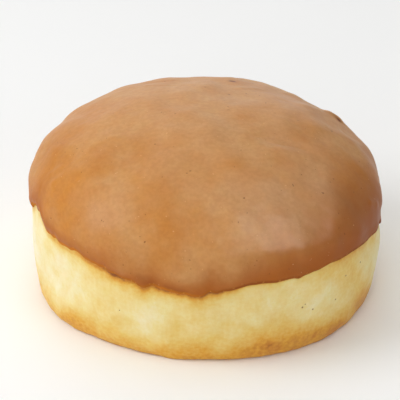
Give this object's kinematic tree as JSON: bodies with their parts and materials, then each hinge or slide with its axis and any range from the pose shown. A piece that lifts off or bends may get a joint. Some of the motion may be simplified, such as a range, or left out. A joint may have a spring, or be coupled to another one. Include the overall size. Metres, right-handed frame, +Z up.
{
  "type": "filled doughnut",
  "caption": "Round filled doughnut with no hole: pale fried dough with a browned base under a smooth cap of caramel-coloured icing.",
  "frame": {"origin": "middle of the flat underside that the doughnut rests on, below the middle of its outline", "axes": "+Z up out of the icing; +X towards the side where the dome has settled a little lower; -Y towards the side where the icing ran down furthest"},
  "size_m": [0.0904, 0.0908, 0.0493],
  "materials": {
    "dough": "matte",
    "icing": "satin"
  },
  "bodies": {
    "root": {"dough": "dough", "icing": "icing"}
  },
  "joints": []
}
